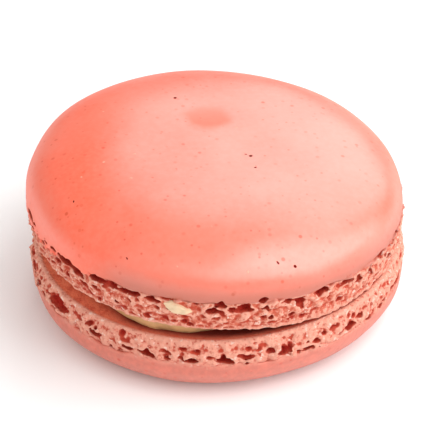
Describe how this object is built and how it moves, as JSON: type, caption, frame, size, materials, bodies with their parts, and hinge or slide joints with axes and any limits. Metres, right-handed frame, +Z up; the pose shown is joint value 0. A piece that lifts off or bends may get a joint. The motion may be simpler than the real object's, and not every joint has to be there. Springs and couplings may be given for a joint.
{
  "type": "french macaron",
  "caption": "Round almond meringue biscuit with smooth, low-domed coral-pink shells and craggy feet, sandwiched on a thin leaning wedge of beige cream",
  "frame": {"origin": "on the table under the middle of the biscuit, in the flat spot of the lower shell", "axes": "+Z up through the two shells, -Y towards the viewer of the picture, +X to the right"},
  "size_m": [0.0467, 0.0466, 0.0216],
  "materials": {
    "baked_shell": "dry satin meringue skin, coral pink, over a rough porous foot",
    "cream": "soft beige cream with a faint moist sheen"
  },
  "bodies": {
    "root": {"shell_bottom": "baked_shell", "filling": "cream", "shell_top": "baked_shell"}
  },
  "joints": []
}
